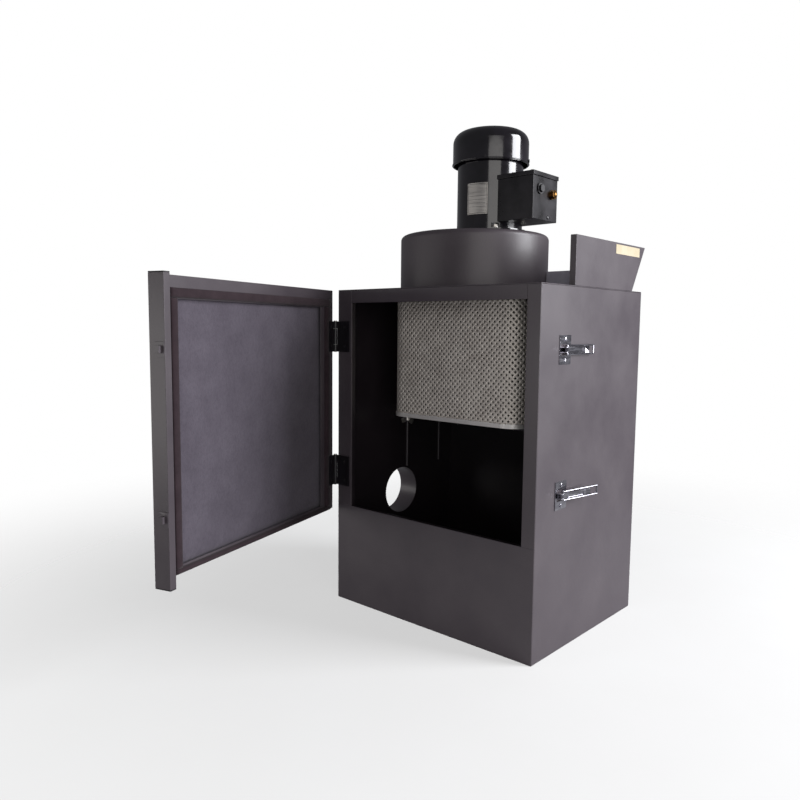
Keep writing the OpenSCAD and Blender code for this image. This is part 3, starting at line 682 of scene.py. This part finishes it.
def finish(name, **constants):
    """A new material, its shader with these constant values, and the object's coordinates."""
    material = bpy.data.materials.new(name)
    material.use_nodes = True
    shader = material.node_tree.nodes["Principled BSDF"]
    for key, value in constants.items():
        shader.inputs[key.replace("_", " ")].default_value = value
    here = add(material, "ShaderNodeTexCoord").outputs["Object"]
    return material, shader, here


def ramp(material, source, stops):
    """A colour ramp with its own stops: (position, colour) pairs."""
    made = add(material, "ShaderNodeValToRGB", links={0: source})
    band = made.color_ramp
    while len(band.elements) < len(stops):
        band.elements.new(0.5)
    for element, (at, colour) in zip(band.elements, stops):
        element.position, element.color = at, colour
    return made.outputs["Color"]


def spread(material, source, low, high, start=0.3, end=0.7):
    """Maps a pattern's start to end onto the range of values that a socket needs."""
    return add(material, "ShaderNodeMapRange", {1: start, 2: end, 3: low, 4: high}, {0: source}).outputs[0]


def per_mm(size):
    """Texture scale that gives features of this size in mm, in metre coordinates."""
    return 1000 / size


def mottled(material, size, detail, here, roughness=0.5):
    """A noise pattern with features of this size in mm, as values from 0 to 1."""
    settings = {"Scale": per_mm(size), "Detail": detail, "Roughness": roughness}
    return add(material, "ShaderNodeTexNoise", settings, {"Vector": here}).outputs["Fac"]


def bumped(material, height, strength, distance):
    """Normals that follow a height pattern; distance is in metres."""
    return add(material, "ShaderNodeBump", {"Strength": strength, "Distance": distance},
               {"Height": height}).outputs["Normal"]


def connect(material, shader, **sources):
    """Links a source to each named socket of the shader."""
    for key, source in sources.items():
        material.node_tree.links.new(source, shader.inputs[key.replace("_", " ")])


finishes = {}

# %% [markdown]
# ### Baked enamel
# The cabinet is sprayed with dark grey enamel and baked. Spray leaves a faint orange-peel
# of bumps about 3 mm across, too shallow to see except in the reflections, and handling
# leaves broad dull patches where the gloss has gone. The colour barely changes; it is the
# roughness that varies. Inside the cabinet the paint colour is darkened, as painted shade
# for the dim inside of the box.

# %% Where the cabinet's inside begins
cabinet_low, cabinet_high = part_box("left_side_panel")[0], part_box("right_side_panel")[1]


def inside(material, here):
    """Mask for the painted shade: 1 on faces within the cabinet's outer skin and 0 on the skin itself."""
    at = add(material, "ShaderNodeSeparateXYZ", links={0: here}).outputs
    room_left = [(at[0], cabinet_low.x, 1), (at[0], cabinet_high.x, -1), (at[1], cabinet_low.y, 1),
                 (at[1], cabinet_high.y, -1), (at[2], roof_z * MM, -1)]
    depth = None
    for axis, wall, way in room_left:
        gap_here = add(material, "ShaderNodeMath", {"operation": "MULTIPLY_ADD", 1: way, 2: -way * wall},
                       {0: axis}).outputs[0]
        depth = gap_here if depth is None else add(
            material, "ShaderNodeMath", {"operation": "MINIMUM"}, {0: depth, 1: gap_here}).outputs[0]
    return spread(material, depth, 0.0, 1.0, 0.6 * MM, 1.6 * MM)


# %% Enamel for the cabinet, and the same paint on the blower
def enamel(name, base, dust, rough_low, rough_high, peel):
    paint, shader, here = finish(name, Metallic=0.0, IOR=1.5, Coat_Weight=0.15, Coat_Roughness=0.25)
    patches = mottled(paint, 160, 4.0, here, roughness=0.6)
    grains = mottled(paint, 2.0, 2.0, here)
    tone = ramp(paint, patches, [(0.30, swatch(base)), (0.72, swatch(dust))])
    # Faces inside the cabinet are multiplied darker: painted shade for the dim inside of the box.
    inside_painted_shade = add(paint, "ShaderNodeMix", {"data_type": "RGBA", "blend_type": "MULTIPLY", 7: swatch("#7a7478")},
                {0: inside(paint, here), 6: tone}).outputs[2]
    speck = add(paint, "ShaderNodeMix", {"data_type": "RGBA", "blend_type": "MULTIPLY", 0: 0.25},
                {6: inside_painted_shade, 7: ramp(paint, grains, [(0.25, (0.6, 0.6, 0.6, 1)), (0.6, (1, 1, 1, 1))])})
    bumps = mottled(paint, 3.2, 1.0, here)
    connect(paint, shader, Base_Color=speck.outputs[2],
            Roughness=spread(paint, patches, rough_low, rough_high), Normal=bumped(paint, bumps, peel, 0.0004))
    return paint


finishes["cabinet_paint"] = enamel("baked_grey_enamel", "#484147", "#524b50", 0.34, 0.46, 0.25)
finishes["blower_paint"] = enamel("blower_grey_enamel", "#433c41", "#4c454a", 0.36, 0.48, 0.30)

# %% [markdown]
# ### Gloss black motor enamel
# Motor covers are dipped or sprayed in gloss black. It reads as black only because it
# mirrors dark things: next to the window it shows a hard white stripe. A low roughness
# gives the stripe its edge, and a slow wave in the surface keeps it from being ruled. The
# terminal box is a rough casting under the same paint, so its flat side is only sheened.

# %% Motor enamel and hinge enamel
def gloss_black(name, base, rough_low, rough_high, coat=0.6):
    paint, shader, here = finish(name, Metallic=0.0, IOR=1.5, Coat_Weight=coat, Coat_Roughness=0.06)
    cloud = mottled(paint, 38, 3.0, here)
    wave = mottled(paint, 11, 1.0, here)
    connect(paint, shader, Base_Color=ramp(paint, cloud, [(0.3, swatch(base)), (0.7, swatch("#17131a"))]),
            Roughness=spread(paint, cloud, rough_low, rough_high), Normal=bumped(paint, wave, 0.12, 0.0005))
    return paint


finishes["motor_paint"] = gloss_black("gloss_black_motor_enamel", "#060407", 0.10, 0.20)
finishes["black_hinge"] = gloss_black("black_hinge_enamel", "#151316", 0.32, 0.45, coat=0.1)
cast_box = gloss_black("cast_box_enamel", "#060407", 0.26, 0.36, coat=0.0)

# %% [markdown]
# ### Galvanised and tinned steel
# Hot-dipped zinc freezes in crystals, so each patch of a few millimetres throws light its
# own way. A cell pattern varies the grey and the roughness together. The bright rim of
# the cartridge is plain tinned sheet, drawn through rollers, so it has fine lines instead.

# %% Zinc, tin and plated parts
def zinc(name, dark, light, crystal, rough_low, rough_high, bare=1.0):
    """Spangled zinc; bare is the share of clean metal that shows through the chalky oxide."""
    metal, shader, here = finish(name, Metallic=bare)
    cells = add(metal, "ShaderNodeTexVoronoi", {"Scale": per_mm(crystal)}, {"Vector": here})
    shade = add(metal, "ShaderNodeSeparateColor", links={0: cells.outputs["Color"]}).outputs[0]
    smear = mottled(metal, 45, 4.0, here)
    both = add(metal, "ShaderNodeMath", {"operation": "MULTIPLY_ADD", 1: 0.35},
               {0: shade, 2: smear}).outputs[0]
    connect(metal, shader, Base_Color=ramp(metal, both, [(0.35, swatch(dark)), (0.85, swatch(light))]),
            Roughness=spread(metal, both, rough_low, rough_high, 0.35, 0.85),
            Normal=bumped(metal, shade, 0.15, 0.0002))
    return metal


def drawn(name, dark, light, across, rough_low, rough_high, bare=1.0):
    """Rolled or drawn sheet: fine lines along the girth, so the pattern is squeezed in z."""
    metal, shader, here = finish(name, Metallic=bare)
    squeezed = add(metal, "ShaderNodeMapping", {"Scale": (1, 1, across)}, {"Vector": here}).outputs[0]
    lines = mottled(metal, 30, 5.0, squeezed)
    connect(metal, shader, Base_Color=ramp(metal, lines, [(0.3, swatch(dark)), (0.7, swatch(light))]),
            Roughness=spread(metal, lines, rough_low, rough_high), Normal=bumped(metal, lines, 0.08, 0.0001))
    return metal


finishes["galvanised"] = zinc("hot_dip_zinc", "#d8d0c6", "#f0e9df", 9, 0.36, 0.50, bare=0.5)
finishes["plated_steel"] = zinc("zinc_plated_screw", "#a3a09c", "#c6c3bd", 1.2, 0.28, 0.40)
finishes["bright_tin"] = drawn("bright_tinned_sheet", "#f0ede7", "#faf8f4", 14, 0.34, 0.48, bare=0.55)
finishes["impeller_metal"] = zinc("bare_rolled_steel", "#77747a", "#9a979c", 14, 0.35, 0.50)
finishes["shaft_steel"] = drawn("ground_steel", "#a9a7a4", "#cfcdc9", 30, 0.18, 0.30)
finishes["latch_chrome"] = drawn("polished_chrome", "#9f9da6", "#c4c3ca", 6, 0.10, 0.22)
finishes["plate_metal"] = drawn("satin_aluminium", "#a8a4a0", "#cfcbc6", 22, 0.35, 0.50)
finishes["gland_brass"] = drawn("turned_brass", "#6a4d2b", "#8f6c3d", 26, 0.20, 0.34)

# %% [markdown]
# ### Sponge, foam and felt
# Sponge rubber is closed cells under a thin skin: very matt, with pin-prick pits. The
# foam panel is open-celled, coarser and softer, and its fibres catch light at a low angle,
# which is what sheen adds. Felt is fibrous. Their grain is drawn about twice as coarse as
# the real one, because finer would not show at all.

# %% Soft finishes
def soft(name, dark, light, cell, depth, sheen, mottle=60):
    stuff, shader, here = finish(name, Metallic=0.0, IOR=1.45, Roughness=0.92, Sheen_Weight=sheen,
                                 Sheen_Roughness=0.5, Specular_IOR_Level=0.25)
    cells = add(stuff, "ShaderNodeTexVoronoi", {"Scale": per_mm(cell)}, {"Vector": here}).outputs["Distance"]
    grain = mottled(stuff, cell * 2.5, 3.0, here)
    cloud = mottled(stuff, mottle, 4.0, here)
    mixed = add(stuff, "ShaderNodeMath", {"operation": "MULTIPLY_ADD", 1: 0.45},
                {0: cells, 2: grain}).outputs[0]
    tone = add(stuff, "ShaderNodeMix", {"data_type": "RGBA", "blend_type": "MULTIPLY", 0: 0.5},
               {6: ramp(stuff, cloud, [(0.3, swatch(dark)), (0.7, swatch(light))]),
                7: ramp(stuff, mixed, [(0.3, (0.62, 0.62, 0.64, 1)), (0.85, (1, 1, 1, 1))])})
    connect(stuff, shader, Base_Color=tone.outputs[2], Normal=bumped(stuff, mixed, 0.6, depth * MM))
    return stuff


finishes["door_foam"] = soft("open_cell_foam", "#4d4751", "#58525c", 3.0, 0.9, 0.25)
finishes["seal_rubber"] = soft("sponge_rubber", "#2c2126", "#362a2f", 2.0, 0.4, 0.10, mottle=30)
finishes["filter_media"] = soft("pleated_felt", "#8e877a", "#a29b8d", 1.6, 0.3, 0.15)

# %% [markdown]
# ### The small rest
# Moulded plastic has a fine spark-eroded grain from its tool, and so has the pale duct.
# The label is cream film. The windings are rows of varnished wire, which a band pattern
# across z gives.

# %% Plastic, label and copper
def grained(name, dark, light, grain, rough_low, rough_high, bump):
    stuff, shader, here = finish(name, Metallic=0.0, IOR=1.5)
    fine = mottled(stuff, grain, 2.0, here)
    cloud = mottled(stuff, 25, 3.0, here)
    connect(stuff, shader, Base_Color=ramp(stuff, cloud, [(0.3, swatch(dark)), (0.7, swatch(light))]),
            Roughness=spread(stuff, fine, rough_low, rough_high), Normal=bumped(stuff, fine, bump, 0.0002))
    return stuff


finishes["black_plastic"] = grained("moulded_black_nylon", "#141216", "#1b191d", 0.8, 0.42, 0.58, 0.35)
finishes["pale_duct"] = grained("pale_moulded_duct", "#cfcbd8", "#dedbe6", 1.2, 0.45, 0.60, 0.15)
finishes["label_stock"] = grained("cream_label_film", "#b8ab8c", "#c6baa0", 1.5, 0.40, 0.55, 0.08)

wire, wire_shader, wire_here = finish("varnished_copper", Metallic=1.0)
banding = {"wave_type": "BANDS", "bands_direction": "Z", "Scale": per_mm(1.2) / 2, "Distortion": 1.5}
turns = add(wire, "ShaderNodeTexWave", banding, {"Vector": wire_here}).outputs["Fac"]
connect(wire, wire_shader, Base_Color=ramp(wire, turns, [(0.1, swatch("#6b3a1c")), (0.8, swatch("#b4713c"))]),
        Roughness=spread(wire, turns, 0.25, 0.4), Normal=bumped(wire, turns, 0.5, 0.0005))
finishes["copper_winding"] = wire

# %% [markdown]
# ### Studio paper
# The paper is the floor disc, pale and quite plain. A breath of mottling keeps it from
# being a flat value, and full roughness keeps it from mirroring the machine. Away from
# the machine it turns clear, so the white ground shows through.

# %% Paper for the floor
paper, paper_shader, paper_here = finish("studio_paper", Metallic=0.0, Roughness=0.95, Specular_IOR_Level=0.1)
fibre = mottled(paper, 300, 3.0, paper_here)
out_here = add(paper, "ShaderNodeVectorMath", {"operation": "LENGTH"}, {0: paper_here}).outputs["Value"]
fade = {1: 0.5, 2: 2.2, 3: 0.45, 4: 0.0, "interpolation_type": "SMOOTHSTEP"}
connect(paper, paper_shader, Alpha=add(paper, "ShaderNodeMapRange", fade, {0: out_here}).outputs[0],
        Base_Color=ramp(paper, fibre, [(0.2, swatch("#f4f3f2")), (0.8, swatch("#fafafa"))]))

# %% [markdown]
# ## Put the finishes on
# Each CAD part names its material slot in the record, and each new piece was given one
# when it was made, so one loop dresses both.

# %% Dress every part
slot_of = {row["node"]: row["material_slot"] for row in frame["record"]["subparts"]}
own_coat = {"studio_floor": paper, "terminal_box": cast_box, "terminal_lid": cast_box}
dressed = 0
for made in list(scene.objects):
    if made.type != "MESH":
        continue
    coat = own_coat.get(made.name) or finishes[slot_of.get(made.name) or made["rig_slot"]]
    made.data.materials.clear()
    made.data.materials.append(coat)
    dressed += 1
print(dressed, "objects dressed in", len(finishes), "finishes")
